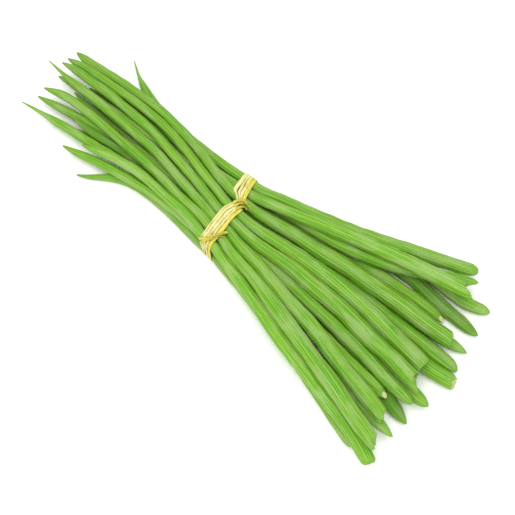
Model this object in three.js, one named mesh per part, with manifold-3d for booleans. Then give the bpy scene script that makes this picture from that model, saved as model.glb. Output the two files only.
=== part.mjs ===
// A bunch of young moringa pods lying on a flat surface, in two halves held side by side by a strip
// of raffia that is wound round them in a figure of eight. Millimetres, +Z up. The pods lie along X,
// from their thin tips at -X to their stalk ends at +X. The origin is under the middle of the bunch.
import * as THREE from "three";
import { mergeVertices } from "three/addons/utils/BufferGeometryUtils.js";
import Module from "manifold-3d";

const wasm = await Module();
wasm.setup();

const { clamp, lerp, smoothstep } = THREE.MathUtils;

// A pod is thinnest behind its beak, and thickens all the way to its stalk.
const RADIUS_NEAR_TIP = 4.1;
const RADIUS_IN_TIE = 4.35;
const RADIUS_NEAR_STALK = 6.5;
const NEAR_TIP_X = -130;
const TIE_X = -6;
const NEAR_STALK_X = 110;
const BEAK_RADIUS = 0.6;
const BEAK_FULLNESS = 0.8;
const BLUNT_BUTT_LENGTH = 12;
const POINTED_BUTT_LENGTH = 40;

// Its section has three rounded sides and nine ribs, which turn slowly along it.
const RIBS = 9;
const RIB_DEPTH = 0.1;
const SIDE_DEPTH = 0.04;
const TWIST_PER_MM = 0.0022;
const GOLDEN_ANGLE = 2.39996;

// How the pods are packed where they are tied: rows of five and three with hollows between them,
// and a narrow slit between the halves for the raffia.
const GAP = 0.3;
const POD_GAP = 0.5;
const STRAP = 1.3;
const PITCH = 2 * RADIUS_IN_TIE + POD_GAP;
const ROW_RISE = PITCH * Math.sqrt(0.75);
const FIRST_ROW_Z = RADIUS_IN_TIE + GAP + STRAP;
const FIRST_SLOT_Y = { left: -30, right: 19.4 };

// The line of a pod, seen from above, is led through its tip, these three places and its stalk end.
const SHOULDER_X = -110;
const HIP_X = 110;
const HOOK_LENGTH = 45;

// half, row and slot: where the pod is held in the tie. tip and stalk: where it ends.
// shoulder and hip: how far across the bunch it is there. beak: how long its thin point is.
// butt: how wide its stalk end is, as a share of the pod. girth: how stout the pod is.
// hooks: how far its tip and its stalk end bend further aside.
const PODS = [
  { half: "left", row: 2, slot: 0, beak: 37, butt: 0.8, girth: 0.98,
    tip: [-158.6, -29], shoulder: -18.1, hip: -62.1,
    stalk: [225.4, -94.2], hooks: [0, -6] },
  { half: "left", row: 2, slot: 1, beak: 27, butt: 0.6, girth: 1.04,
    tip: [-230.5, 6.8], shoulder: -3.3, hip: -57.3,
    stalk: [223.9, -96.3], hooks: [-9, 0] },
  { half: "left", row: 2, slot: 2, beak: 53, butt: 0.8, girth: 1.02,
    tip: [-244.4, 23.3], shoulder: 13.9, hip: -42.4,
    stalk: [213.9, -74.1], hooks: [0, 0] },
  { half: "left", row: 2, slot: 3, beak: 27, butt: 0.7, girth: 1.08,
    tip: [-233.8, 32.2], shoulder: 21.5, hip: -11.3,
    stalk: [221.5, -30.5], hooks: [-2, 0] },
  { half: "left", row: 2, slot: 4, beak: 22, butt: 0.95, girth: 1.18,
    tip: [-234.2, 44.6], shoulder: 39.5, hip: 4.4,
    stalk: [210.2, -8.8], hooks: [-4, 0] },
  { half: "right", row: 2, slot: 0, beak: 18, butt: 0.9, girth: 1.08,
    tip: [-236.5, 37.2], shoulder: 38.6, hip: 22.6,
    stalk: [216, 23.2], hooks: [0, 0] },
  { half: "right", row: 2, slot: 1, beak: 29, butt: 0.6, girth: 0.98,
    tip: [-176, 44], shoulder: 36.3, hip: 50.2,
    stalk: [207.4, 64.5], hooks: [0, 0] },
  { half: "right", row: 2, slot: 2, beak: 37, butt: 0.7, girth: 0.92,
    tip: [-196.1, 62.5], shoulder: 37.1, hip: 66.5,
    stalk: [193.8, 96.9], hooks: [10, 0] },
  { half: "left", row: 1, slot: 0, beak: 32, butt: 0.2, girth: 0.86,
    tip: [-177.1, -28], shoulder: -18.1, hip: -54.4,
    stalk: [225.3, -75.5], hooks: [0, 0] },
  { half: "left", row: 1, slot: 1, beak: 56, butt: 0.3, girth: 0.94,
    tip: [-242, -16.9], shoulder: -11.6, hip: -33.2,
    stalk: [201.2, -40.6], hooks: [1, 0] },
  { half: "left", row: 1, slot: 2, beak: 35, butt: 0.25, girth: 0.92,
    tip: [-233.1, -8.8], shoulder: 2.8, hip: -16.7,
    stalk: [222, -36.2], hooks: [0, 0] },
  { half: "left", row: 1, slot: 3, beak: 27, butt: 0.5, girth: 0.98,
    tip: [-236.9, 24.5], shoulder: 13, hip: 11.8,
    stalk: [231.1, 9.1], hooks: [-2, 0] },
  { half: "right", row: 1, slot: 0, beak: 38, butt: 0.3, girth: 0.92,
    tip: [-228.2, 17.2], shoulder: 20.7, hip: 53,
    stalk: [195.4, 61.8], hooks: [0, 0] },
  { half: "right", row: 1, slot: 1, beak: 40, butt: 0.35, girth: 0.82,
    tip: [-205, 36], shoulder: 28.6, hip: 42.3,
    stalk: [201.4, 78.9], hooks: [-4, 0] },
  { half: "left", row: 0, slot: 0, beak: 45, butt: 0.85, girth: 0.95,
    tip: [-149, -36], shoulder: -13.4, hip: -58,
    stalk: [204, -87.2], hooks: [0, 0] },
  { half: "left", row: 0, slot: 1, beak: 32, butt: 0.5, girth: 0.9,
    tip: [-209, -14.6], shoulder: -7, hip: -53.3,
    stalk: [205, -85.8], hooks: [-7, 0] },
  { half: "left", row: 0, slot: 2, beak: 43, butt: 0.25, girth: 1.02,
    tip: [-186, -14], shoulder: -6.6, hip: -13,
    stalk: [225.7, -45.7], hooks: [0, 0] },
  { half: "left", row: 0, slot: 3, beak: 40, butt: 0.3, girth: 0.98,
    tip: [-206, 4], shoulder: 4.2, hip: -13,
    stalk: [231.9, -46.9], hooks: [0, 4] },
  { half: "left", row: 0, slot: 4, beak: 42, butt: 0.9, girth: 1,
    tip: [-214, 22], shoulder: 7.1, hip: -1.6,
    stalk: [237.8, -0.2], hooks: [0, 3] },
  { half: "right", row: 0, slot: 0, beak: 40, butt: 0.2, girth: 0.9,
    tip: [-206, 30], shoulder: 28.7, hip: 20.7,
    stalk: [228, 24.2], hooks: [0, 1] },
  { half: "right", row: 0, slot: 1, beak: 48, butt: 0.35, girth: 0.92,
    tip: [-212, 34], shoulder: 20.3, hip: 61.5,
    stalk: [226, 50.6], hooks: [0, 0] },
  { half: "right", row: 0, slot: 2, beak: 45, butt: 0.5, girth: 0.84,
    tip: [-186, 42], shoulder: 36.8, hip: 64.8,
    stalk: [221.7, 56.5], hooks: [0, 9] },
];

function podRadius(pod, x) {
  const stouter = smoothstep(x, TIE_X, NEAR_STALK_X);
  const body =
    RADIUS_NEAR_TIP +
    (RADIUS_IN_TIE - RADIUS_NEAR_TIP) * smoothstep(x, NEAR_TIP_X, TIE_X) +
    (RADIUS_NEAR_STALK * pod.girth - RADIUS_IN_TIE) * stouter;
  const buttLength = lerp(POINTED_BUTT_LENGTH, BLUNT_BUTT_LENGTH, pod.butt);
  const fromTip = clamp((x - pod.tip[0]) / pod.beak, 0, 1);
  const fromButt = clamp((pod.stalk[0] - x) / buttLength, 0, 1);
  const beak = Math.sin((fromTip * Math.PI) / 2) ** BEAK_FULLNESS;
  const butt = Math.sqrt(1 - (1 - fromButt) ** 2);
  return lerp(BEAK_RADIUS, body, beak) * lerp(pod.butt, 1, butt);
}

// The tie's place for a pod, as it is seen along the bunch.
function slotPlace(pod) {
  const nested = pod.row === 1 ? 0.5 : 0;
  return {
    y: FIRST_SLOT_Y[pod.half] + (pod.slot + nested) * PITCH,
    z: FIRST_ROW_Z + pod.row * ROW_RISE,
  };
}

function planLine(pod) {
  const slotY = slotPlace(pod).y;
  const places = [pod.tip, [SHOULDER_X, pod.shoulder], [TIE_X, slotY], [HIP_X, pod.hip], pod.stalk];
  const curve = new THREE.CatmullRomCurve3(places.map(([x, y]) => new THREE.Vector3(x, y, 0)));
  const points = curve.getPoints(120);
  return (x) => {
    const beyond = points.findIndex((p) => p.x > x);
    const k = beyond < 0 ? points.length - 1 : Math.max(1, beyond);
    const [a, b] = [points[k - 1], points[k]];
    const fromTip = clamp(1 - (x - pod.tip[0]) / HOOK_LENGTH, 0, 1);
    const fromStalk = clamp(1 - (pod.stalk[0] - x) / HOOK_LENGTH, 0, 1);
    const aside = pod.hooks[0] * fromTip ** 2 + pod.hooks[1] * fromStalk ** 2;
    return lerp(a.y, b.y, (x - a.x) / (b.x - a.x)) + aside;
  };
}

// Pods are springy and heavy. Each starts on its plan line in its row, sinks until it lies on the
// others or on the table, keeps the bend that it grew with, and gives way sideways where it must.
const STEP_X = 6;
const SPARE_STEPS = 4;
const ROUNDS = 1200;
const SINKING_ROUNDS = 900;
const SINK = 0.12;
const HOLD_PLAN = 0.1;
const HOLD_TIE = 0.5;
const HELD_WIDTH = 12;
const STRAP_WIDTH = 11;
const SPRING = 0.35;
const SPRING_STRIDES = [1, 2, 4, 6];

function startLine(pod) {
  const plan = planLine(pod);
  const slot = slotPlace(pod);
  const first = Math.ceil(pod.tip[0] / STEP_X) - SPARE_STEPS;
  const last = Math.floor(pod.stalk[0] / STEP_X) + SPARE_STEPS;
  const line = { pod, slot, first, y: [], z: [], r: [], planY: [] };
  for (let k = first; k <= last; k++) {
    const x = clamp(k * STEP_X, pod.tip[0], pod.stalk[0]);
    line.planY.push(plan(x));
    line.y.push(plan(x));
    line.z.push(slot.z);
    line.r.push(podRadius(pod, x));
  }
  return line;
}

function springBack(line) {
  const { y, z, planY } = line;
  for (const stride of SPRING_STRIDES) {
    for (let k = stride; k < y.length - stride; k++) {
      const [a, b] = [k - stride, k + stride];
      const grown = planY[k] - (planY[a] + planY[b]) / 2;
      const dy = ((y[a] + y[b]) / 2 + grown - y[k]) * SPRING;
      const dz = ((z[a] + z[b]) / 2 - z[k]) * SPRING;
      y[k] += dy;
      y[a] -= dy / 2;
      y[b] -= dy / 2;
      z[k] += dz;
      z[a] -= dz / 2;
      z[b] -= dz / 2;
    }
  }
}

function settle(line, sinking) {
  springBack(line);
  for (let k = 0; k < line.y.length; k++) {
    const fromTie = Math.abs((line.first + k) * STEP_X - TIE_X);
    if (sinking) {
      line.z[k] -= SINK;
      line.y[k] += (line.planY[k] - line.y[k]) * HOLD_PLAN;
    }
    if (fromTie < HELD_WIDTH) {
      line.y[k] += (line.slot.y - line.y[k]) * HOLD_TIE;
      line.z[k] += (line.slot.z - line.z[k]) * HOLD_TIE;
    }
  }
}

function lean(values, k) {
  const [a, b] = [Math.max(0, k - 1), Math.min(values.length - 1, k + 1)];
  return (values[b] - values[a]) / ((b - a) * STEP_X);
}

function keepApart(a, b, ka, kb) {
  const upright = Math.cos(Math.atan((lean(a.y, ka) + lean(b.y, kb)) / 2));
  const dy = (b.y[kb] - a.y[ka]) * upright;
  const dz = b.z[kb] - a.z[ka];
  const apart = Math.hypot(dy, dz);
  const least = a.r[ka] + b.r[kb] + POD_GAP;
  if (apart >= least) return;
  const push = (least - apart) / 2 / apart;
  a.y[ka] -= (dy * push) / upright;
  b.y[kb] += (dy * push) / upright;
  a.z[ka] -= dz * push;
  b.z[kb] += dz * push;
}

function relax(lines) {
  const firstStep = Math.min(...lines.map((line) => line.first));
  const lastStep = Math.max(...lines.map((line) => line.first + line.y.length - 1));
  for (let round = 0; round < ROUNDS; round++) {
    for (const line of lines) settle(line, round < SINKING_ROUNDS);
    for (let step = firstStep; step <= lastStep; step++) {
      const here = lines.filter((line) => step >= line.first && step < line.first + line.y.length);
      here.forEach((a, i) => {
        for (const b of here.slice(i + 1)) keepApart(a, b, step - a.first, step - b.first);
      });
      const onStrap = Math.abs(step * STEP_X - TIE_X) < STRAP_WIDTH;
      for (const line of here) {
        const k = step - line.first;
        line.z[k] = Math.max(line.z[k], line.r[k] + (onStrap ? STRAP + GAP : 0));
      }
    }
  }
}

const lines = PODS.map(startLine);
relax(lines);

// The middle of a pod at any x, as a smooth curve through its settled places.
function podCentre(line, x) {
  const at = x / STEP_X - line.first;
  const k = Math.floor(at);
  const t = at - k;
  const smooth = (v) => {
    const [before, from, to, after] = [v[k - 1], v[k], v[k + 1], v[k + 2]];
    const bend = 2 * before - 5 * from + 4 * to - after;
    const turn = -before + 3 * from - 3 * to + after;
    return from + 0.5 * t * (to - before + t * (bend + t * turn));
  };
  return new THREE.Vector3(x, smooth(line.y), smooth(line.z));
}

function podDirection(line, x) {
  return podCentre(line, x + 2)
    .sub(podCentre(line, x - 2))
    .normalize();
}

// Sections lie close together in the beak, in the tie, in the butt, and wherever the pod bends.
const BODY_STEP = 38;
const STRAIGHT_BEND = 0.0001;
const TIE_STEPS = [-17, -6, 5, 17];
const BEAK_SHARES = [0.02, 0.2, 0.45, 0.8];
const BUTT_SHARES = [0.9, 0.4, 0.1, 0.01];

function bendAt(line, k) {
  const bend = (v) => (v[k - 1] - 2 * v[k] + v[k + 1]) / STEP_X ** 2;
  return Math.hypot(bend(line.y), bend(line.z));
}

function between(line, from, to) {
  const steps = Math.max(1, Math.round((to - from) / BODY_STEP));
  const pieces = Math.ceil((to - from) / STEP_X);
  const x = (i) => lerp(from, to, i / pieces);
  const sofar = [0];
  for (let i = 0; i < pieces; i++) {
    const bend = bendAt(line, Math.round(x(i + 0.5) / STEP_X) - line.first);
    sofar.push(sofar[i] + Math.sqrt(bend + STRAIGHT_BEND));
  }
  return Array.from({ length: steps - 1 }, (_, n) => {
    const wanted = (sofar.at(-1) * (n + 1)) / steps;
    const i = sofar.findIndex((sum) => sum >= wanted);
    return x(i - (sofar[i] - wanted) / (sofar[i] - sofar[i - 1]));
  });
}

function sectionPlaces(line) {
  const { tip, stalk, beak: beakLength, butt: buttShare } = line.pod;
  const buttLength = lerp(POINTED_BUTT_LENGTH, BLUNT_BUTT_LENGTH, buttShare);
  const beak = BEAK_SHARES.map((share) => tip[0] + share * beakLength);
  const butt = BUTT_SHARES.map((share) => stalk[0] - share * buttLength);
  const tie = TIE_STEPS.map((step) => TIE_X + step);
  const tipSide = between(line, beak.at(-1), tie[0]);
  const stalkSide = between(line, tie.at(-1), butt[0]);
  return [...beak, ...tipSide, ...tie, ...stalkSide, ...butt];
}

// A pod is turned on a lathe with flat ends, ribbed, and then bent along its own line.
function podGeometry(line, index) {
  const { pod } = line;
  const places = sectionPlaces(line);
  const profile = places.map((x) => new THREE.Vector2(podRadius(pod, x), x));
  profile.unshift(new THREE.Vector2(0, places[0]));
  profile.push(new THREE.Vector2(0, places.at(-1)));
  const geometry = new THREE.LatheGeometry(profile, RIBS * 2);
  const position = geometry.getAttribute("position");
  const up = new THREE.Vector3(0, 0, 1);
  for (let i = 0; i < position.count; i++) {
    const x = position.getY(i);
    const angle = Math.atan2(position.getX(i), position.getZ(i));
    const rib = 1 - RIB_DEPTH * (0.5 - 0.5 * Math.cos(RIBS * angle));
    const side = 1 - SIDE_DEPTH * (0.5 - 0.5 * Math.cos(3 * angle));
    const radius = Math.hypot(position.getX(i), position.getZ(i)) * rib * side;
    const turn = angle + index * GOLDEN_ANGLE + x * TWIST_PER_MM;
    const along = podDirection(line, x);
    const across = new THREE.Vector3().crossVectors(up, along).normalize();
    const over = new THREE.Vector3().crossVectors(along, across);
    const place = podCentre(line, x);
    place.addScaledVector(across, radius * Math.cos(turn));
    place.addScaledVector(over, radius * Math.sin(turn));
    position.setXYZ(i, place.x, Math.round(place.y * 1e4) / 1e4, Math.max(place.z, 0));
  }
  geometry.deleteAttribute("normal");
  geometry.deleteAttribute("uv");
  return mergeVertices(geometry, 1e-3);
}

// The raffia: a loop round each half. A loop is laid along the lines that touch the half's pods in
// 20 directions, so it is as tight as a real strip, and its flat stretches are cut into shorter ones.
const DIRECTIONS = 20;
const QUARTER = DIRECTIONS / 4;
const FLAT_PIECES = { left: [3, 6, 3, 6], right: [3, 4, 3, 4] };
const PRESSED_FLAT = 0.3;

// The strands of the strip, from edge to edge: where each row lies, and how thick it is.
const STRAND_ROWS = [-1, -0.94, -0.4, -0.33, 0.29, 0.36, 0.94, 1];
const STRAND_THICKNESS = [0.5, 1.2, STRAP, 0.75, STRAP, 0.8, 1.15, 0.5];

// Round each loop from its +Y side over the top: how far round (in directions), where the middle of
// the strip lies along the bunch, how wide it is, and how much thicker it is where it is folded.
const LOOPS = {
  left: [
    { turn: 0, x: -7, width: 8, fold: 0.7 },
    { turn: 3.3, x: -5, width: 11, fold: 0 },
    { turn: 5.5, x: -4, width: 15, fold: 0 },
    { turn: 6.7, x: -2, width: 10, fold: 0 },
    { turn: 10.4, x: -1, width: 9, fold: 0 },
    { turn: 15.4, x: -5, width: 12, fold: 0 },
    { turn: 20, x: -7, width: 8, fold: 0.7 },
  ],
  right: [
    { turn: 0, x: -13, width: 12, fold: 0 },
    { turn: 5, x: -13, width: 12, fold: 0 },
    { turn: 7.5, x: -10, width: 8, fold: 0 },
    { turn: 10.4, x: -8, width: 8, fold: 0.7 },
    { turn: 15.4, x: -8, width: 11, fold: 0 },
    { turn: 20, x: -13, width: 12, fold: 0 },
  ],
};

function alongLoop(half, turn) {
  const keys = LOOPS[half];
  const k = clamp(keys.findIndex((key) => key.turn > turn), 1, keys.length - 1);
  const [a, b] = [keys[k - 1], keys[k]];
  const share = clamp((turn - a.turn) / (b.turn - a.turn), 0, 1);
  return {
    x: lerp(a.x, b.x, share),
    width: lerp(a.width, b.width, share),
    fold: lerp(a.fold, b.fold, share),
  };
}

// A pod is straight between two of its sections, and the raffia is laid against that.
function straightBody(line, x) {
  const places = sectionPlaces(line);
  const next = places.findIndex((place) => place > x);
  const [a, b] = [places[next - 1], places[next]];
  const share = (x - a) / (b - a);
  const centre = podCentre(line, a).lerp(podCentre(line, b), share);
  const radius = lerp(podRadius(line.pod, a), podRadius(line.pod, b), share);
  return { centre, radius: radius / podDirection(line, x).x };
}

function reach(half, x, direction) {
  const angle = (direction * 2 * Math.PI) / DIRECTIONS;
  const reaches = lines
    .filter((line) => line.pod.half === half)
    .map((line) => {
      const { centre, radius } = straightBody(line, x);
      return centre.y * Math.cos(angle) + centre.z * Math.sin(angle) + radius;
    });
  return Math.max(...reaches);
}

// The corner between two neighbouring touching lines, held off the pods by a clearance.
function corner(half, x, direction, clearance) {
  const [a, b] = [direction, direction + 1].map((d) => (d * 2 * Math.PI) / DIRECTIONS);
  const ra = reach(half, x, direction) + clearance;
  const rb = reach(half, x, direction + 1) + clearance;
  const det = Math.sin(b - a);
  return {
    y: (ra * Math.sin(b) - rb * Math.sin(a)) / det,
    z: (rb * Math.cos(a) - ra * Math.cos(b)) / det,
  };
}

function loopPoint(half, direction, share, row, outside) {
  const { x, width, fold } = alongLoop(half, direction + share);
  const here = x + (STRAND_ROWS[row] * width) / 2;
  const underneath = Math.abs(direction - 3 * QUARTER) < 0.5;
  const strand = underneath ? STRAP : STRAND_THICKNESS[row];
  const clearance = outside ? GAP + strand + fold : GAP;
  const a = corner(half, here, direction - 1, clearance);
  const b = corner(half, here, direction, clearance);
  const [y, z] = [lerp(a.y, b.y, share), lerp(a.z, b.z, share)];
  return [here, y, z < PRESSED_FLAT && outside ? 0 : z];
}

function loopGeometry(half) {
  const stations = [];
  for (let direction = 0; direction < DIRECTIONS; direction++) {
    const flat = direction % QUARTER === 0;
    const pieces = flat ? FLAT_PIECES[half][direction / QUARTER] : 1;
    for (let i = 0; i < pieces; i++) stations.push([direction, i / pieces]);
  }
  const rows = STRAND_ROWS.length;
  const ring = [];
  for (let row = 0; row < rows; row++) ring.push([row, true]);
  for (let row = rows - 1; row >= 0; row--) ring.push([row, false]);
  const points = [];
  const faces = [];
  stations.forEach(([direction, share], s) => {
    ring.forEach(([row, outside], r) => {
      points.push(...loopPoint(half, direction, share, row, outside));
      const nextRing = (r + 1) % ring.length;
      const nextStation = (s + 1) % stations.length;
      const [a, b] = [s * ring.length + r, s * ring.length + nextRing];
      const [c, d] = [nextStation * ring.length + nextRing, nextStation * ring.length + r];
      faces.push(a, c, b, a, d, c);
    });
  });
  const geometry = new THREE.BufferGeometry();
  geometry.setAttribute("position", new THREE.Float32BufferAttribute(points, 3));
  geometry.setIndex(faces);
  return geometry;
}

// The knot, a twisted lump on the left loop, and the strip's loose ends.
const KNOT = { x: 1, y: -24, z: 29.5, radius: 1, scale: [3.4, 4.4, 1.9] };
const ENDS = [
  { thick: 1, wide: 2.4, points: [[0, -24, 29.6], [4, -19, 30.4], [9, -15, 30.6]] },
  { thick: 1, wide: 2, points: [[0, -25, 29.2], [-5, -30, 29], [-8, -33, 28.4]] },
  { thick: 0.9, wide: 2, points: [[-3, 2, 28.1], [2, 5, 29.2], [7, 8, 30.3], [12, 10, 30.7]] },
];

function looseEnd({ thick, wide, points }) {
  const outline = new THREE.Shape();
  outline.moveTo(-thick / 2, -wide / 2);
  outline.lineTo(thick / 2, -wide / 2);
  outline.lineTo(thick / 2, wide / 2);
  outline.lineTo(-thick / 2, wide / 2);
  const extrudePath = new THREE.CatmullRomCurve3(points.map((p) => new THREE.Vector3(...p)));
  return new THREE.ExtrudeGeometry(outline, { steps: 6, bevelEnabled: false, extrudePath });
}

function knotGeometry() {
  const geometry = new THREE.SphereGeometry(KNOT.radius, 12, 8);
  geometry.scale(...KNOT.scale);
  geometry.rotateZ(-0.5);
  geometry.translate(KNOT.x, KNOT.y, KNOT.z);
  return geometry;
}

function toSolid(geometry) {
  geometry.deleteAttribute("normal");
  geometry.deleteAttribute("uv");
  const merged = mergeVertices(geometry, 1e-4);
  const vertProperties = new Float32Array(merged.getAttribute("position").array);
  const triVerts = new Uint32Array(merged.index.array);
  return new wasm.Manifold(new wasm.Mesh({ numProp: 3, vertProperties, triVerts }));
}

function toGeometry(solid) {
  const { vertProperties, triVerts } = solid.getMesh();
  const geometry = new THREE.BufferGeometry();
  geometry.setAttribute("position", new THREE.BufferAttribute(vertProperties, 3));
  geometry.setIndex(new THREE.BufferAttribute(triVerts, 1));
  return geometry;
}

function tieGeometry() {
  const pieces = [
    loopGeometry("left"),
    loopGeometry("right"),
    knotGeometry(),
    ...ENDS.map(looseEnd),
  ];
  return toGeometry(pieces.map(toSolid).reduce((tie, piece) => tie.add(piece)));
}

const podMaterial = new THREE.MeshStandardMaterial({ color: "#7fb441", roughness: 0.55, metalness: 0 });
const raffiaMaterial = new THREE.MeshStandardMaterial({ color: "#ecdc86", roughness: 0.7, metalness: 0 });

const bunch = new THREE.Group();
lines.forEach((line, index) => {
  const pod = new THREE.Mesh(podGeometry(line, index), podMaterial.clone());
  pod.name = `pod_${String(index + 1).padStart(2, "0")}`;
  bunch.add(pod);
});
const tie = new THREE.Mesh(tieGeometry(), raffiaMaterial);
tie.name = "raffia_tie";
bunch.add(tie);

const box = new THREE.Box3().setFromObject(bunch);
const middle = box.getCenter(new THREE.Vector3());
bunch.position.set(-middle.x, -middle.y, -box.min.z);

export default bunch;
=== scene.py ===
# %% [markdown]
# # A bunch of moringa pods tied with raffia
#
# Twenty-two young moringa pods lie together like long green pencils. A strip of raffia goes round
# them in a figure of eight and holds them in two halves, side by side. This lesson gives each plain
# solid pod its real skin: ribs, seed swellings, a drawn-out tip and a stalk end. Then it winds the
# raffia from separate strands, and photographs the bunch on a white table.
#
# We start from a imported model, which fixes where every piece is and how big it is.

# %% Load the frame
import bmesh
import bpy
import math
import numpy as np
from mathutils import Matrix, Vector


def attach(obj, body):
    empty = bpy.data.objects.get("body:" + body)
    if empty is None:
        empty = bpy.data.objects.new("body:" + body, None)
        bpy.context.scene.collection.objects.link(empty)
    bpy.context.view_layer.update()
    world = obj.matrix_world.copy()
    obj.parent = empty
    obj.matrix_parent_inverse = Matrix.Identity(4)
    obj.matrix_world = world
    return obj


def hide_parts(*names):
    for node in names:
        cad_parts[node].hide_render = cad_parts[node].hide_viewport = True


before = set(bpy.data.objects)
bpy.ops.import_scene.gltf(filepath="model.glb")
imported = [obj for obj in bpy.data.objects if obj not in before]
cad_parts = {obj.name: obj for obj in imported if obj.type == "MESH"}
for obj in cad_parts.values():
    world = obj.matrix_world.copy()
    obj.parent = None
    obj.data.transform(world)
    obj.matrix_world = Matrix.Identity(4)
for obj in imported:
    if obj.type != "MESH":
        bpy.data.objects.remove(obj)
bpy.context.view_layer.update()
MM = 0.001
POD_NODES = sorted(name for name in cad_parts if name.startswith("pod_"))

# %% [markdown]
# ## Reading a plain pod
#
# A plain pod is a stack of rings, each with 18 corners: nine ribs and nine grooves between them. Its
# two flat ends have one more corner in the middle, where 18 edges meet. If we walk over the edges from
# that middle, each step reaches exactly the next ring. So the mesh itself tells us the line of the pod,
# how thick it is along that line, and how far its ribs have turned.
#
# We could also copy all the places of the pods into this file, but then they could drift apart from
# the model. Reading them is safer.

# %% The rings of a plain pod
RIBS = 9
RING_CORNERS = 2 * RIBS
SAME_PLACE = 0.002 * MM


def rings_of(node):
    """The ring corners of a plain pod, from its tip to its stalk end, in metres."""
    mesh = bmesh.new()
    mesh.from_mesh(node.data)
    bmesh.ops.remove_doubles(mesh, verts=mesh.verts, dist=SAME_PLACE)
    middles = [v for v in mesh.verts if len(v.link_edges) == RING_CORNERS]
    reached = {min(middles, key=lambda v: v.co.x)}
    ring, rings = list(reached), []
    while ring:
        ring = {e.other_vert(v) for v in ring for e in v.link_edges} - reached
        reached |= ring
        if len(ring) == RING_CORNERS:
            # Sorted, because a set has no order of its own and the sums below should never change.
            rings.append(np.array(sorted(v.co[:] for v in ring)))
    mesh.free()
    return rings


plain_rings = {name: rings_of(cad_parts[name]) for name in POD_NODES}
print("rings in each pod:", sorted({len(rings) for rings in plain_rings.values()}))

# %% [markdown]
# ## A smooth line through the rings
#
# The rings lie up to 4 cm apart, so straight lines between them would show as kinks. A living pod
# bends evenly. We put a natural cubic curve through the ring middles, which bends as little as it can.
# The thickness gets another cubic curve, one that never overshoots, because a bump there would look
# like a swelling that the pod doesn't have. Blender's own curves could draw the line, but they
# wouldn't tell us the thickness at a place along it.

# %% Two kinds of curve
def natural_curve(s, values, at):
    """A cubic curve through values at s, bending as evenly as a thin strip, read at the places at."""
    values = np.asarray(values, float).reshape(len(s), -1)
    h = np.diff(s)
    slope = np.diff(values, axis=0) / h[:, None]
    n = len(s)
    matrix, right = np.eye(n), np.zeros_like(values)
    for i in range(1, n - 1):
        matrix[i, i - 1 : i + 2] = h[i - 1], 2 * (h[i - 1] + h[i]), h[i]
        right[i] = 6 * (slope[i] - slope[i - 1])
    bend = np.linalg.solve(matrix, right)
    k = np.clip(np.searchsorted(s, at) - 1, 0, n - 2)
    a, b, w = (column[:, None] for column in (at - s[k], s[k + 1] - at, h[k]))
    bent = (bend[k] * b**3 + bend[k + 1] * a**3) / (6 * w)
    return bent + (values[k] / w - bend[k] * w / 6) * b + (values[k + 1] / w - bend[k + 1] * w / 6) * a


def steady_curve(s, values, at):
    """A cubic curve through values at s that stays between neighbouring values."""
    values = np.asarray(values, float)
    h, slope = np.diff(s), np.diff(values) / np.diff(s)
    # At a peak or a hollow the curve runs level, and elsewhere its tilt is a mean of both slopes.
    same = slope[:-1] * slope[1:] > 0
    before, after = np.where(same, slope[:-1], 1), np.where(same, slope[1:], 1)
    w1, w2 = 2 * h[1:] + h[:-1], h[1:] + 2 * h[:-1]
    tilt = np.zeros_like(values)
    tilt[1:-1][same] = ((w1 + w2) / (w1 / before + w2 / after))[same]
    tilt[0], tilt[-1] = slope[0], slope[-1]
    k = np.clip(np.searchsorted(s, at) - 1, 0, len(s) - 2)
    t = (at - s[k]) / h[k]
    start = (1 + 2 * t) * (1 - t) ** 2 * values[k] + t * (1 - t) ** 2 * h[k] * tilt[k]
    return start + t**2 * (3 - 2 * t) * values[k + 1] + t**2 * (t - 1) * h[k] * tilt[k + 1]


highest = steady_curve(np.arange(3.0), [0, 1, 1], np.linspace(0, 2, 9)).max()
print("a steady curve through 0, 1 and 1 reaches", highest)

# %% [markdown]
# ## Measuring each pod
#
# For each pod we keep four things along its length: the distance from the tip, the middle, the
# distance out to the rib tops, and how far the ribs have turned. Three ribs stand out more than the
# others. They repeat every third of a turn, so the third wave of a ring's outline tells us which way
# they point, without counting corners.

# %% Measures of the pods
THIRD_OF_TURN = 2 * math.pi / 3


def cross_axes(along):
    """Two directions square to a line: across it, level, and over it."""
    across = np.cross([0.0, 0.0, 1.0], along)
    across /= np.linalg.norm(across, axis=-1, keepdims=True)
    return across, np.cross(along, across)


def pod_measures(rings):
    """Along a plain pod: the length so far, the middle, the rib-top radius, and the turn of the ribs."""
    middles = np.array([ring.mean(axis=0) for ring in rings])
    s = np.concatenate([[0], np.cumsum(np.linalg.norm(np.diff(middles, axis=0), axis=1))])
    along = np.gradient(middles, s, axis=0)
    along /= np.linalg.norm(along, axis=1, keepdims=True)
    radius, turn = [], []
    for ring, middle, across, over in zip(rings, middles, *cross_axes(along)):
        arm = ring - middle
        length = np.hypot(arm @ across, arm @ over)
        angle = np.arctan2(arm @ over, arm @ across)
        radius.append(length.max())
        turn.append(np.angle(np.sum(length * np.exp(3j * angle))) / 3)
    return s, middles, np.array(radius), np.unwrap(turn, period=THIRD_OF_TURN)


pods = {name: pod_measures(rings) for name, rings in plain_rings.items()}
lengths = [measures[0][-1] for measures in pods.values()]
print("pods are", round(min(lengths) / MM), "to", round(max(lengths) / MM), "mm long")

# %% [markdown]
# ## The camera
#
# The bunch was photographed from above its stalk ends, 62 degrees above the table and turned 39
# degrees, so that it runs across the picture from corner to corner. The camera stands 1.1 m away. Its
# lens is given in millimetres for film 36 mm wide, so it doesn't depend on the number of pixels.

# %% Camera
TURN, RISE, DISTANCE = math.radians(39.16), math.radians(62), 1.1
LENS_MM, FILM_MM = 88.8, 36.0
LOOK_AT = Vector((0.0403, -0.0111, 0.020))

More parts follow.
